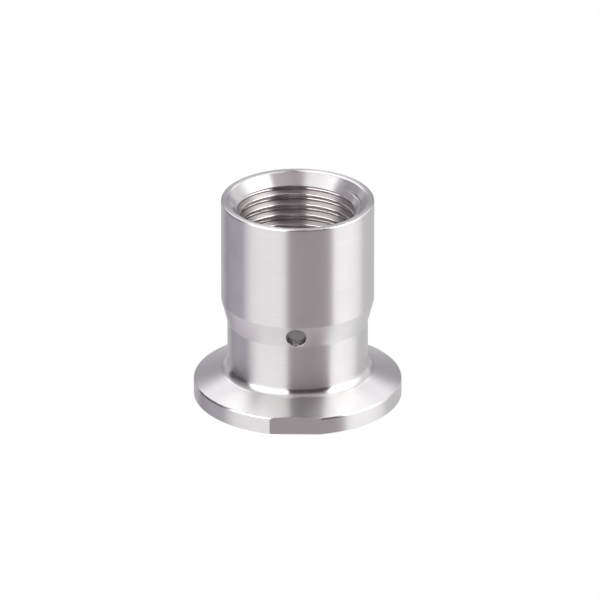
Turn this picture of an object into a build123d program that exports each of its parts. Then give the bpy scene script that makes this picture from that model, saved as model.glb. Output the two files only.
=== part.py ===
from build123d import *
import os
from math import radians, tan

# Sanitary clamp threaded adapter, one piece turned from stainless steel bar. Sizes are in millimetres.
# The turning axis is Z. The clamp face lies on z = 0, the threaded socket opens upwards, and the leak
# hole with its marking flat faces -Y.

# Threaded socket: a parallel half inch pipe thread, with the bore left at the diameter of its crests
thread_root_dia = 20.955
thread_pitch = 1.814
thread_depth_in_pitches = 0.640327
socket_depth = 15.3
countersink_angle = 90.0

# Thread relief under the last turn, with sides at 45 degrees
relief_floor = 1.3
relief_clearance = 0.2

# Body round the socket, and the conical step down to the neck
total_height = 34.5
body_wall = 2.0
mouth_land = 1.1
mouth_outer_break = 0.25
mouth_inner_break = 0.2
step_bottom = 13.2
step_height = 3.85
step_depth = 1.0

# Clamp flange
flange_dia = 34.0
rim_height = 2.85
rim_top_radius = 0.4
rim_foot_break = 0.1
clamp_cone_angle = 20.0
neck_fillet = 1.6

# Gasket groove, with sides at 45 degrees and a round floor, set in from the flange's rim
groove_inset = 3.25
groove_width = 4.4
groove_floor_radius = 1.45

# Process bore, and the conical seat above it where a probe seals
process_bore_dia = 15.0
seat_bottom = 8.0
seat_angle = 60.0

# Leak hole on the middle of the conical step, and the flat on the rim that marks it
leak_hole_dia = 3.3
flat_depth = 0.55

root_radius = thread_root_dia / 2
crest_radius = root_radius - thread_depth_in_pitches * thread_pitch
relief_radius = root_radius + relief_clearance
relief_side = relief_radius - crest_radius
body_radius = root_radius + body_wall
neck_radius = body_radius - step_depth
mouth_radius = body_radius - mouth_land
flange_radius = flange_dia / 2
groove_centre_radius = flange_radius - groove_inset
process_radius = process_bore_dia / 2

cone_top = rim_height + (flange_radius - neck_radius) * tan(radians(clamp_cone_angle))
step_top = step_bottom + step_height
seat_top = seat_bottom + (crest_radius - process_radius) / tan(radians(seat_angle / 2))
relief_top = total_height - socket_depth
relief_bottom = relief_top - relief_floor - 2 * relief_side
countersink_bottom = total_height - (mouth_radius - crest_radius) / tan(radians(countersink_angle / 2))
leak_hole_height = (step_bottom + step_top) / 2


def corner(profile, radius, height):
    """The corner of a turned profile that is nearest to a radius and a height."""
    return profile.vertices().sort_by(lambda point: abs(point.X - radius) + abs(point.Y - height))[0]


with BuildPart() as adapter:
    # Half section of the turned piece: up the outside, and back down the bore
    with BuildSketch(Plane.XZ) as section:
        with BuildLine():
            Polyline(
                (process_radius, 0),
                (flange_radius, 0),
                (flange_radius, rim_height),
                (neck_radius, cone_top),
                (neck_radius, step_bottom),
                (body_radius, step_top),
                (body_radius, total_height),
                (mouth_radius, total_height),
                (crest_radius, countersink_bottom),
                (crest_radius, relief_top),
                (relief_radius, relief_top - relief_side),
                (relief_radius, relief_bottom + relief_side),
                (crest_radius, relief_bottom),
                (crest_radius, seat_top),
                (process_radius, seat_bottom),
                close=True,
            )
        make_face()
        fillet(corner(section, neck_radius, cone_top), radius=neck_fillet)
        fillet(corner(section, flange_radius, rim_height), radius=rim_top_radius)
        chamfer(corner(section, flange_radius, 0), length=rim_foot_break)
        chamfer(corner(section, body_radius, total_height), length=mouth_outer_break)
        chamfer(corner(section, mouth_radius, total_height), length=mouth_inner_break)
    revolve(axis=Axis.Z)

    # Gasket groove in the clamp face
    with BuildSketch(Plane.XZ) as groove:
        with BuildLine():
            Polyline(
                (groove_centre_radius - groove_width / 2, 0),
                (groove_centre_radius + groove_width / 2, 0),
                (groove_centre_radius, groove_width / 2),
                close=True,
            )
        make_face()
        fillet(corner(groove, groove_centre_radius, groove_width / 2), radius=groove_floor_radius)
    revolve(axis=Axis.Z, mode=Mode.SUBTRACT)

    # Leak hole, drilled square to the axis through the step into the thread relief
    with BuildSketch(Plane.XZ):
        with Locations((0, leak_hole_height)):
            Circle(leak_hole_dia / 2)
    extrude(amount=flange_radius, mode=Mode.SUBTRACT)

    # Flat milled on the rim under the leak hole
    with BuildSketch(Plane.XZ.offset(flange_radius - flat_depth)):
        with Locations((0, cone_top / 2)):
            Rectangle(flange_dia, cone_top)
    extrude(amount=flat_depth, mode=Mode.SUBTRACT)

os.makedirs("parts", exist_ok=True)
adapter.part.label = "adapter"
export_step(adapter.part, "parts/adapter.step")
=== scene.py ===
import bmesh
import bpy
from math import ceil, copysign, cos, hypot, pi, radians, sin, tan
from mathutils import Matrix, Vector


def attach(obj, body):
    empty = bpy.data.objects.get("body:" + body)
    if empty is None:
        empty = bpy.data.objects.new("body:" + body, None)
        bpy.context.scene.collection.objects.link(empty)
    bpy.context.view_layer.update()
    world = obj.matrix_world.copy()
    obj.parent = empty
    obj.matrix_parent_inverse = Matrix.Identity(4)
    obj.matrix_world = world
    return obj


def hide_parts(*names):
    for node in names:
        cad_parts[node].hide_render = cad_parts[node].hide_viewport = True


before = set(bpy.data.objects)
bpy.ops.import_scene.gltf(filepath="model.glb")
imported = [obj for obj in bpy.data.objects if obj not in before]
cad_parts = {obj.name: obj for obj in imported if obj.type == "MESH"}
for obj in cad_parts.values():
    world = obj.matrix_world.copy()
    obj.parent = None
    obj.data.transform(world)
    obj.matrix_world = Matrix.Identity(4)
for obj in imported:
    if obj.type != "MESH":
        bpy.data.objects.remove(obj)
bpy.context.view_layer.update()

# Adapter blank. The fitting is one piece of stainless steel, turned from bar on a lathe: first its outside,
# with the clamp flange at the foot, and then its bore, seat, thread relief and countersunk mouth. Sizes are
# in millimetres, as on a turner's drawing, and the finished mesh is brought to metres.
flange_radius = 17.0
rim_height = 2.85
clamp_cone_angle = radians(20)
neck_radius = 11.4775
body_radius = 12.4775
step_bottom = 13.2
step_top = 17.05
total_height = 34.5
mouth_radius = 11.3775
crest_radius = 9.316
root_radius = 10.4775
relief_radius = 10.6775
relief_top = 19.2
relief_floor = 1.3
process_radius = 7.5
seat_bottom = 8.0
seat_half_angle = radians(30)
groove_centre_radius = 13.75
groove_half_width = 2.2
groove_floor_radius = 1.45
steps_round = 200

edge_break = 0.1
rim_foot_break = 0.12
rim_top_round = 0.4
neck_fillet = 1.6
step_round = 0.6
land_outer_round = 0.25
land_inner_round = 0.5
relief_edge_break = 0.05
relief_round = 0.2

cone_top = rim_height + (flange_radius - neck_radius) * tan(clamp_cone_angle)
countersink_bottom = total_height - (mouth_radius - crest_radius)
relief_side = relief_radius - crest_radius
relief_bottom = relief_top - relief_floor - 2 * relief_side
seat_top = seat_bottom + (crest_radius - process_radius) / tan(seat_half_angle)

# Each corner of the half section: its radius, its height and the radius that its edge is rounded to
half_section = [
    (process_radius, 0, edge_break),
    (groove_centre_radius - groove_half_width, 0, edge_break),
    (groove_centre_radius, groove_half_width, groove_floor_radius),
    (groove_centre_radius + groove_half_width, 0, edge_break),
    (flange_radius, 0, rim_foot_break),
    (flange_radius, rim_height, rim_top_round),
    (neck_radius, cone_top, neck_fillet),
    (neck_radius, step_bottom, step_round),
    (body_radius, step_top, step_round),
    (body_radius, total_height, land_outer_round),
    (mouth_radius, total_height, land_inner_round),
    (crest_radius, countersink_bottom, 0),
    (crest_radius, relief_top, relief_edge_break),
    (relief_radius, relief_top - relief_side, relief_round),
    (relief_radius, relief_bottom + relief_side, relief_round),
    (crest_radius, relief_bottom, relief_edge_break),
    (crest_radius, seat_top, edge_break),
    (process_radius, seat_bottom, edge_break),
]


def outline_mesh(corners):
    """A flat outline in the XZ plane from (radius, height, edge radius) corners, as edges with no face."""
    bm = bmesh.new()
    verts = [bm.verts.new((radius, 0, height)) for radius, height, edge_radius in corners]
    bm.faces.new(verts)
    arc_step = radians(11)
    for vert, (radius, height, edge_radius) in zip(verts, corners):
        if edge_radius:
            first, second = (edge.other_vert(vert).co - vert.co for edge in vert.link_edges)
            turn = pi - first.angle(second)
            bmesh.ops.bevel(
                bm, geom=[vert], affect="VERTICES", offset=edge_radius * tan(turn / 2),
                segments=ceil(turn / arc_step), profile=0.5, material=-1,
            )
    bmesh.ops.delete(bm, geom=bm.faces[:], context="FACES_ONLY")
    return bm


def finished(bm, name, *materials):
    """An object from a bmesh, with its faces pointing outwards and its materials in their slots."""
    bmesh.ops.recalc_face_normals(bm, faces=bm.faces)
    mesh = bpy.data.meshes.new(name)
    bm.to_mesh(mesh)
    bm.free()
    for material in materials:
        mesh.materials.append(material)
    piece = bpy.data.objects.new(name, mesh)
    bpy.context.scene.collection.objects.link(piece)
    return piece


bm = outline_mesh(half_section)
bmesh.ops.spin(
    bm, geom=bm.verts[:] + bm.edges[:], cent=(0, 0, 0), axis=(0, 0, 1),
    angle=2 * pi, steps=steps_round, use_merge=True,
)
adapter = finished(bm, "threaded_adapter")


# Finishes of the blank. Every surface carries the fine marks of the tool that made it, which run round the
# axis. The bore, the mouth and the rounded edges are left bright from the lathe. The body, its step, the
# neck, the clamp cone and the rim are rubbed to a satin while the piece still turns.
def add_node(tree, kind, inputs=(), **settings):
    """A shader node with its settings, and each input given as a value or as another node's socket."""
    node = tree.nodes.new("ShaderNode" + kind)
    for name, value in settings.items():
        setattr(node, name, value)
    for key, value in dict(inputs).items():
        if isinstance(value, bpy.types.NodeSocket):
            tree.links.new(value, node.inputs[key])
        else:
            node.inputs[key].default_value = value
    return node


def tool_marks_group():
    """Marks of a cutting tool: fine lines across the section that waver along the cut, and slow clouds."""
    group = bpy.data.node_groups.new("tool_marks", "ShaderNodeTree")
    group.interface.new_socket("Section", in_out="INPUT", socket_type="NodeSocketVector")
    group.interface.new_socket("Place", in_out="INPUT", socket_type="NodeSocketVector")
    group.interface.new_socket("Lines per mm", in_out="INPUT", socket_type="NodeSocketFloat")
    group.interface.new_socket("Lines", in_out="OUTPUT", socket_type="NodeSocketFloat")
    group.interface.new_socket("Clouds", in_out="OUTPUT", socket_type="NodeSocketFloat")
    given = group.nodes.new("NodeGroupInput").outputs
    mm_per_m = 1000
    waver_per_m = 45
    clouds_per_m = 260
    per_m = add_node(group, "Math", {0: given["Lines per mm"], 1: mm_per_m}, operation="MULTIPLY")
    across = add_node(
        group, "VectorMath", {0: given["Section"], "Scale": per_m.outputs[0]}, operation="SCALE",
    )
    waver = add_node(group, "VectorMath", {0: given["Place"], "Scale": waver_per_m}, operation="SCALE")
    spot = add_node(group, "VectorMath", {0: across.outputs[0], 1: waver.outputs[0]}, operation="ADD")
    lines = add_node(
        group, "TexNoise", {"Vector": spot.outputs[0], "Scale": 1, "Detail": 4, "Roughness": 0.65},
    )
    clouds = add_node(
        group, "TexNoise", {"Vector": given["Place"], "Scale": clouds_per_m, "Detail": 3, "Roughness": 0.5},
    )
    made = group.nodes.new("NodeGroupOutput")
    group.links.new(lines.outputs["Fac"], made.inputs["Lines"])
    group.links.new(clouds.outputs["Fac"], made.inputs["Clouds"])
    return group


tool_marks = tool_marks_group()


def marked_steel(name, lie, roughness, anisotropy, lines_per_mm, depth, red=0.608):
    """Stainless steel with tool marks. The lie of the marks is a function that gives the place on the section
    that the tool cut, in metres, and the direction that it moved in."""
    dark_tone = (red, 0.594, 0.595)
    light_tone = tuple(part + 0.03 for part in dark_tone)
    sheen_change = 0.07
    noise_range = {"From Min": 0.3, "From Max": 0.7}
    quarter_turn = 0.25
    steel = bpy.data.materials.new(name)
    steel.use_nodes = True
    tree = steel.node_tree
    place = add_node(tree, "TexCoord").outputs["Object"]
    section, along = lie(tree, place)
    marks = add_node(
        tree, "Group", {"Section": section, "Place": place, "Lines per mm": lines_per_mm},
        node_tree=tool_marks,
    )
    tone = add_node(tree, "MapRange", {
        "Value": marks.outputs["Lines"], **noise_range, "To Min": 0.0, "To Max": 1.0,
    })
    colour = add_node(
        tree, "Mix", {"Factor": tone.outputs[0], "A": (*dark_tone, 1), "B": (*light_tone, 1)},
        data_type="RGBA",
    )
    sheen = add_node(tree, "MapRange", {
        "Value": marks.outputs["Clouds"], **noise_range,
        "To Min": roughness * (1 - sheen_change), "To Max": roughness * (1 + sheen_change),
    })
    bump = add_node(
        tree, "Bump", {"Strength": 1.0, "Distance": depth, "Height": marks.outputs["Lines"]},
    )
    shader = tree.nodes["Principled BSDF"]
    shader.inputs["Metallic"].default_value = 1.0
    shader.inputs["Anisotropic"].default_value = anisotropy
    shader.inputs["Anisotropic Rotation"].default_value = quarter_turn
    tree.links.new(colour.outputs["Result"], shader.inputs["Base Color"])
    tree.links.new(sheen.outputs[0], shader.inputs["Roughness"])
    tree.links.new(bump.outputs[0], shader.inputs["Normal"])
    tree.links.new(along, shader.inputs["Tangent"])
    return steel


def turned(tree, place):
    """Marks of the lathe: on rings round the Z axis."""
    split = add_node(tree, "SeparateXYZ", {0: place})
    level = add_node(tree, "VectorMath", {0: place, 1: (1, 1, 0)}, operation="MULTIPLY")
    radius = add_node(tree, "VectorMath", {0: level.outputs[0]}, operation="LENGTH")
    section = add_node(tree, "CombineXYZ", {"X": radius.outputs["Value"], "Y": split.outputs["Z"]})
    along = add_node(tree, "VectorMath", {0: (0, 0, 1), 1: place}, operation="CROSS_PRODUCT")
    return section.outputs[0], along.outputs[0]


bright_steel = marked_steel(
    "bright_turned_steel", turned, roughness=0.22, anisotropy=0.92, lines_per_mm=3, depth=1e-6,
)
satin_steel = marked_steel(
    "satin_turned_steel", turned, roughness=0.31, anisotropy=0.95, lines_per_mm=3, depth=1e-6,
)
adapter.data.materials.append(bright_steel)
adapter.data.materials.append(satin_steel)
satin_slot = 1

# The step leans by 14.6 degrees, so it still counts as upright
upright_lean = radians(15.6)
cone_tolerance = 0.005
for face in adapter.data.polygons:
    x, y = face.center.xy
    outward = face.normal.x * x + face.normal.y * y > 0
    upright = abs(face.normal.z) < sin(upright_lean)
    on_cone = abs(face.normal.z - cos(clamp_cone_angle)) < cone_tolerance
    if outward and x**2 + y**2 > root_radius**2 and (upright or on_cone):
        face.material_index = satin_slot

# Thread. A half inch parallel pipe thread, right-handed, cut with an insert that rounds its roots and crests,
# from the mouth down into the relief. Its roots and crests shine, its flanks are rougher, and its steel looks
# a shade warmer than the blank.
thread_pitch = 1.814
thread_half_angle = radians(27.5)
top_root_height = 33.4
turns_below_top_root = 9
thread_turns = 11
thread_clearance = 0.001
weld_distance = 0.001
cutter_inner_radius = 9.2

# The sharp form follows from the standard rounding, and the roots are then rounded wider, as they look
standard_rounding = 0.249
thread_root_rounding = 0.38
thread_crest_rounding = 0.2

thread_start_height = top_root_height - turns_below_top_root * thread_pitch
thread_apex = root_radius + standard_rounding * (1 / sin(thread_half_angle) - 1)
cutter_edge = crest_radius - thread_clearance
flank_half_width = (thread_apex - cutter_edge) * tan(thread_half_angle)
cutter_half_width = thread_pitch / 2 - 5 * thread_clearance
bm = outline_mesh([
    (cutter_inner_radius, thread_start_height - cutter_half_width, 0),
    (cutter_edge, thread_start_height - cutter_half_width, 0),
    (cutter_edge, thread_start_height - flank_half_width, thread_crest_rounding),
    (thread_apex, thread_start_height, thread_root_rounding),
    (cutter_edge, thread_start_height + flank_half_width, thread_crest_rounding),
    (cutter_edge, thread_start_height + cutter_half_width, 0),
    (cutter_inner_radius, thread_start_height + cutter_half_width, 0),
])
bmesh.ops.spin(
    bm, geom=bm.verts[:] + bm.edges[:], cent=(0, 0, 0), axis=(0, 0, 1),
    dvec=(0, 0, thread_pitch / steps_round), angle=2 * pi, steps=steps_round,
)
first_turn = bm.verts[:] + bm.edges[:] + bm.faces[:]
for turn in range(1, thread_turns):
    copy = bmesh.ops.duplicate(bm, geom=first_turn)["geom"]
    copied_verts = [part for part in copy if isinstance(part, bmesh.types.BMVert)]
    bmesh.ops.translate(bm, verts=copied_verts, vec=(0, 0, turn * thread_pitch))
bmesh.ops.remove_doubles(bm, verts=bm.verts, dist=weld_distance)
bmesh.ops.holes_fill(bm, edges=[edge for edge in bm.edges if edge.is_boundary], sides=0)
flank_steel = marked_steel(
    "flank_steel", turned, roughness=0.5, anisotropy=1.0, lines_per_mm=6, depth=1e-6, red=0.63,
)
threaded_steel = marked_steel(
    "threaded_steel", turned, roughness=0.14, anisotropy=0.9, lines_per_mm=6, depth=2e-7, red=0.63,
)
thread_cutter = finished(bm, "thread_cutter", threaded_steel, flank_steel)
flank_slot = 1
flank_tolerance = 0.01
for face in thread_cutter.data.polygons:
    if abs(abs(face.normal.z) - cos(thread_half_angle)) < flank_tolerance:
        face.material_index = flank_slot

# Leak hole. It is drilled square to the axis through the conical step into the thread relief, so that a leak
# past the thread shows. The drill leaves its marks round the hole, and the outer edge is broken with a
# deburring tool.
leak_hole_radius = 1.65
leak_hole_height = (step_bottom + step_top) / 2
leak_hole_break = 0.12
leak_hole_sides = 96
metres_per_mm = 0.001


def drilled(tree, place):
    """Marks of the drill: on rings round the leak hole."""
    middle = (0, 0, metres_per_mm * leak_hole_height)
    off_axis = add_node(tree, "VectorMath", {0: place, 1: middle}, operation="SUBTRACT").outputs[0]
    split = add_node(tree, "SeparateXYZ", {0: off_axis})
    level = add_node(tree, "VectorMath", {0: off_axis, 1: (1, 0, 1)}, operation="MULTIPLY")
    radius = add_node(tree, "VectorMath", {0: level.outputs[0]}, operation="LENGTH")
    section = add_node(tree, "CombineXYZ", {"X": radius.outputs["Value"], "Y": split.outputs["Y"]})
    along = add_node(tree, "VectorMath", {0: (0, 1, 0), 1: off_axis}, operation="CROSS_PRODUCT")
    return section.outputs[0], along.outputs[0]


drilled_steel = marked_steel(
    "drilled_steel", drilled, roughness=0.2, anisotropy=0.8, lines_per_mm=4, depth=4e-6,
)
drill_place = Matrix.Translation((0, -flange_radius / 2, leak_hole_height))
bm = bmesh.new()
bmesh.ops.create_cone(
    bm, cap_ends=True, segments=leak_hole_sides, radius1=leak_hole_radius, radius2=leak_hole_radius,
    depth=flange_radius, matrix=drill_place @ Matrix.Rotation(pi / 2, 4, "X"),
)
leak_hole_drill = finished(bm, "leak_hole_drill", drilled_steel)

# Flat on the rim. It is milled under the leak hole, so that the fitter can tell which way the hole points
# when the clamp covers the flange. The cutter leaves faint straight marks.
flat_depth = 0.55


def milled(tree, place):
    """Marks of the milling cutter: straight lines along the flat."""
    split = add_node(tree, "SeparateXYZ", {0: place})
    section = add_node(tree, "CombineXYZ", {"X": split.outputs["Z"], "Y": split.outputs["Y"]})
    face = add_node(tree, "NewGeometry").outputs["Normal"]
    along = add_node(tree, "VectorMath", {0: (0, 0, 1), 1: face}, operation="CROSS_PRODUCT")
    return section.outputs[0], along.outputs[0]


milled_steel = marked_steel(
    "milled_steel", milled, roughness=0.38, anisotropy=0.9, lines_per_mm=3, depth=5e-7,
)
bm = bmesh.new()
bmesh.ops.create_cube(bm, size=2 * flange_radius)
bmesh.ops.translate(bm, verts=bm.verts, vec=(0, flat_depth - 2 * flange_radius, 0))
flat_cutter = finished(bm, "flat_cutter", milled_steel)


# Cutting. The thread, the leak hole and the flat are taken out of the blank, the edge of the leak hole is
# broken, and the shading is kept flat on flats and smooth over rounds.
def with_modifiers(piece):
    """A new mesh of the piece with its modifiers applied, which the piece then no longer has."""
    mesh = bpy.data.meshes.new_from_object(piece.evaluated_get(bpy.context.evaluated_depsgraph_get()))
    piece.modifiers.clear()
    return mesh


cutters = (thread_cutter, leak_hole_drill, flat_cutter)
for cutter in cutters:
    cut = adapter.modifiers.new(cutter.name, "BOOLEAN")
    cut.operation = "DIFFERENCE"
    cut.solver = "MANIFOLD"
    cut.material_mode = "TRANSFER"
    cut.object = cutter
mesh = with_modifiers(adapter)
for cutter in cutters:
    bpy.data.objects.remove(cutter)

bm = bmesh.new()
bm.from_mesh(mesh)
hole_edge_tolerance = 0.01
sliver_length = 0.04
hole_edge_angle = radians(30)
break_segments = 4


def leak_hole_edge():
    """The vertices where the leak hole comes out of the step."""
    return [
        vert for vert in bm.verts if vert.co.y < -relief_radius
        and abs(hypot(vert.co.x, vert.co.z - leak_hole_height) - leak_hole_radius) < hole_edge_tolerance
    ]


bmesh.ops.remove_doubles(bm, verts=leak_hole_edge(), dist=sliver_length)
ring = leak_hole_edge()
ring_edges = [
    edge for edge in bm.edges
    if edge.verts[0] in ring and edge.verts[1] in ring and edge.calc_face_angle(0) > hole_edge_angle
]
bmesh.ops.bevel(
    bm, geom=ring_edges, affect="EDGES", offset=leak_hole_break, segments=break_segments, profile=0.5,
    material=-1, clamp_overlap=False,
)
bmesh.ops.scale(bm, verts=bm.verts, vec=(metres_per_mm, metres_per_mm, metres_per_mm))
bm.to_mesh(mesh)
bm.free()

sharp_shading_angle = radians(12)
mesh.shade_smooth()
mesh.set_sharp_from_angle(angle=sharp_shading_angle)
adapter.data = mesh
even = adapter.modifiers.new("even_shading", "WEIGHTED_NORMAL")
even.keep_sharp = True
mesh = with_modifiers(adapter)
adapter.data = mesh
mesh.name = adapter.name

# On the turned faces each normal lies in the plane through the axis, also where the cuts left long corners
turned_finishes = [mesh.materials.find(steel.name) for steel in (bright_steel, satin_steel)]
lean_aside = 0.03
normals = [corner.vector.copy() for corner in mesh.corner_normals]
for face in mesh.polygons:
    aside = Vector((-face.center.y, face.center.x, 0)).normalized()
    if face.material_index in turned_finishes and abs(face.normal.dot(aside)) < lean_aside:
        for corner, vert in zip(face.loop_indices, face.vertices):
            outwards = (mesh.vertices[vert].co * Vector((1, 1, 0))).normalized()
            normal = normals[corner]
            level = copysign(hypot(normal.x, normal.y), normal.dot(outwards))
            normals[corner] = level * outwards + Vector((0, 0, normal.z))
mesh.normals_split_custom_set(normals)

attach(adapter, "root")
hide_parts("adapter")


# Floor. White paper, lit so evenly that it shows no shadow, with the piece standing on it. The paper inside
# the bore lies in the piece's own shade, so it is a darker disc, whose edge hides inside the steel.
def glowing_paper(name, colour, strength):
    """Paper with one even light on it, whatever stands on it."""
    paper = bpy.data.materials.new(name)
    paper.use_nodes = True
    tree = paper.node_tree
    tree.nodes.remove(tree.nodes["Principled BSDF"])
    glow = add_node(tree, "Emission", {"Color": colour, "Strength": strength})
    tree.links.new(glow.outputs[0], tree.nodes["Material Output"].inputs["Surface"])
    return paper


floor_reach = 3
bm = bmesh.new()
bmesh.ops.create_grid(bm, x_segments=1, y_segments=1, size=floor_reach)
floor = finished(bm, "floor", glowing_paper("white_paper", (1, 1, 1, 1), strength=1.0))
floor.visible_glossy = False
floor.visible_diffuse = False
floor.visible_shadow = False

bore_floor_radius = 0.009
bore_floor_lift = 0.00001
bore_floor_sides = 96
bm = bmesh.new()
bmesh.ops.create_circle(bm, cap_ends=True, segments=bore_floor_sides, radius=bore_floor_radius)
bmesh.ops.translate(bm, verts=bm.verts, vec=(0, 0, bore_floor_lift))
floor_in_bore = finished(
    bm, "floor_in_bore", glowing_paper("shaded_paper", (1, 0.97, 0.98, 1), strength=0.4),
)


# Studio light. Two soft boxes stand left and right of the camera, with the dark of the room between them,
# and a third hangs over the back. They are painted on the surroundings, each over the one before. Their
# layout was fitted to the photograph and then changed.
def soft_panel_group():
    """A panel of light with soft edges, seen in the direction that it faces, over what is behind it."""
    group = bpy.data.node_groups.new("soft_panel", "ShaderNodeTree")
    group.interface.new_socket("Behind", in_out="INPUT", socket_type="NodeSocketColor")
    group.interface.new_socket("Facing", in_out="INPUT", socket_type="NodeSocketVector")
    for name in ("Height", "Half Width", "Half Height", "Side Softness", "End Softness"):
        group.interface.new_socket(name, in_out="INPUT", socket_type="NodeSocketFloat")
    group.interface.new_socket("Light", in_out="INPUT", socket_type="NodeSocketColor")
    group.interface.new_socket("Lit", in_out="OUTPUT", socket_type="NodeSocketColor")
    given = group.nodes.new("NodeGroupInput").outputs
    direction = add_node(group, "TexCoord").outputs["Generated"]
    level = add_node(group, "VectorMath", {0: direction, 1: (1, 1, 0)}, operation="MULTIPLY")
    level = add_node(group, "VectorMath", {0: level.outputs[0]}, operation="NORMALIZE")
    aside = add_node(
        group, "VectorMath", {0: level.outputs[0], 1: given["Facing"]}, operation="DOT_PRODUCT",
    )
    aside = add_node(group, "Math", {0: aside.outputs["Value"]}, operation="ARCCOSINE")
    rise = add_node(group, "SeparateXYZ", {0: direction})
    rise = add_node(group, "Math", {0: rise.outputs["Z"]}, operation="ARCSINE")
    rise = add_node(group, "Math", {0: rise.outputs[0], 1: given["Height"]}, operation="SUBTRACT")
    rise = add_node(group, "Math", {0: rise.outputs[0]}, operation="ABSOLUTE")
    edges = ((aside, "Half Width", "Side Softness"), (rise, "Half Height", "End Softness"))
    masks = []
    for angle, half, softness in edges:
        inner = add_node(group, "Math", {0: given[half], 1: given[softness]}, operation="SUBTRACT")
        outer = add_node(group, "Math", {0: given[half], 1: given[softness]}, operation="ADD")
        mask = add_node(group, "MapRange", {
            "Value": angle.outputs[0], "From Min": inner.outputs[0], "From Max": outer.outputs[0],
            "To Min": 1.0, "To Max": 0.0,
        }, interpolation_type="SMOOTHSTEP")
        masks.append(mask.outputs[0])
    mask = add_node(group, "Math", {0: masks[0], 1: masks[1]}, operation="MULTIPLY")
    lit = add_node(
        group, "Mix", {"Factor": mask.outputs[0], "A": given["Behind"], "B": given["Light"]},
        data_type="RGBA",
    )
    made = group.nodes.new("NodeGroupOutput")
    group.links.new(lit.outputs["Result"], made.inputs["Lit"])
    return group


soft_panel = soft_panel_group()
world = bpy.data.worlds.new("studio")
world.use_nodes = True
bpy.context.scene.world = world
tree = world.node_tree


def panel(behind, sides, ends, softness, light, tint=(1, 1, 1)):
    """One soft panel between two azimuths and two elevations, with the softness of its sides and ends, all in
    degrees. Azimuth 0 is in front and 90 is to the right."""
    azimuth = radians(sum(sides) / 2)
    node = add_node(tree, "Group", {
        "Behind": behind,
        "Facing": (sin(azimuth), -cos(azimuth), 0),
        "Height": radians(sum(ends) / 2),
        "Half Width": radians((sides[1] - sides[0]) / 2),
        "Half Height": radians((ends[1] - ends[0]) / 2),
        "Side Softness": radians(softness[0]),
        "End Softness": radians(softness[1]),
        "Light": (*(light * share for share in tint), 1),
    }, node_tree=soft_panel)
    return node.outputs["Lit"]


room_grey = (0.42, 0.42, 0.43, 1)
pale_violet = (1, 0.99, 1.03)
lilac = (1.02, 0.96, 1.06)
mauve = (1.05, 0.96, 1.01)

# The floor, as the steel sees it from all sides
light = panel(room_grey, (-180, 180), (-120, -25), (1, 12), 0.54)

# The soft box over the back, with the dark parts in it, and the dimmer wall at its right
light = panel(light, (115, 221), (30, 120), (6, 5), 1.15, pale_violet)
light = panel(light, (115, 221), (46, 120), (6, 6), 1.95)
light = panel(light, (140, 215), (74, 120), (6, 4), 0.2, mauve)
light = panel(light, (146, 215), (2, 25), (4, 4), 0.28, lilac)
light = panel(light, (161, 183), (38, 120), (3, 5), 0.02, mauve)
light = panel(light, (100, 146), (-8, 66), (6, 8), 0.6)

# The soft box on the left, and the light that it throws below and above itself
light = panel(light, (-75, -16), (-50, 10), (7, 6), 0.65)
light = panel(light, (-90, -15), (36, 68), (9, 6), 0.74)
light = panel(light, (-96, -15), (66, 120), (3, 6), 0.58)
light = panel(light, (-80, -15), (12, 44), (3, 6), 2.3)

# The soft box on the right, in the same way
light = panel(light, (55, 111), (-50, 10), (4, 6), 0.74)
light = panel(light, (54, 119), (4, 40), (4, 6), 1.0)
light = panel(light, (54, 119), (36, 68), (3, 6), 0.94)
light = panel(light, (54, 119), (66, 120), (3, 6), 0.62)
light = panel(light, (55, 103), (12, 46), (3, 6), 2.7)

# The dim gap between the left soft box and the one over the back
light = panel(light, (-132, -84), (-70, -6), (3, 6), 0.6, lilac)
light = panel(light, (-156, -132), (-70, -6), (3, 6), 0.38, lilac)
light = panel(light, (-130, -84), (-20, 44), (4, 6), 0.28, lilac)
light = panel(light, (-130, -84), (-20, 22), (4, 6), 0.07, lilac)

# The dark of the room round the camera
light = panel(light, (-14, 54), (-60, 52), (4, 8), 0.44, mauve)
light = panel(light, (-16, 67), (50, 120), (3, 4), 0.48, mauve)
light = panel(light, (-16, 76), (60, 120), (3, 4), 0.44, mauve)
light = panel(light, (-16, 75), (74, 120), (3, 6), 0.12, mauve)
light = panel(light, (-14, 53), (-14, 50), (3, 8), 0.04, mauve)

# The steel mirrors the panels, and the camera itself sees a plain white backdrop
studio_strength = 1.6
backdrop_strength = 1.0
seen = add_node(tree, "LightPath").outputs["Is Camera Ray"]
backdrop = add_node(tree, "Mix", {"Factor": seen, "A": light, "B": (1, 1, 1, 1)}, data_type="RGBA")
strength = add_node(
    tree, "Mix", {"Factor": seen, "A": studio_strength, "B": backdrop_strength}, data_type="FLOAT",
)
background = tree.nodes["Background"]
tree.links.new(backdrop.outputs["Result"], background.inputs["Color"])
tree.links.new(strength.outputs["Result"], background.inputs["Strength"])
bpy.context.scene.view_settings.view_transform = "Standard"

# Camera. It stands well back with a long lens and looks down at the mouth.
camera_azimuth = radians(1.0)
camera_elevation = radians(24.5)
camera_distance = 2.45
aim_point = (0.00039, -0.00028, 0.01663)
camera = bpy.data.objects.new("camera", bpy.data.cameras.new("camera"))
bpy.context.scene.collection.objects.link(camera)
turn = Matrix.Rotation(camera_azimuth, 4, "Z") @ Matrix.Rotation(pi / 2 - camera_elevation, 4, "X")
stand_back = Matrix.Translation((0, 0, camera_distance))
camera.matrix_world = Matrix.Translation(aim_point) @ turn @ stand_back
camera.data.lens = 901.2
camera.data.sensor_width = 36
bpy.context.scene.camera = camera
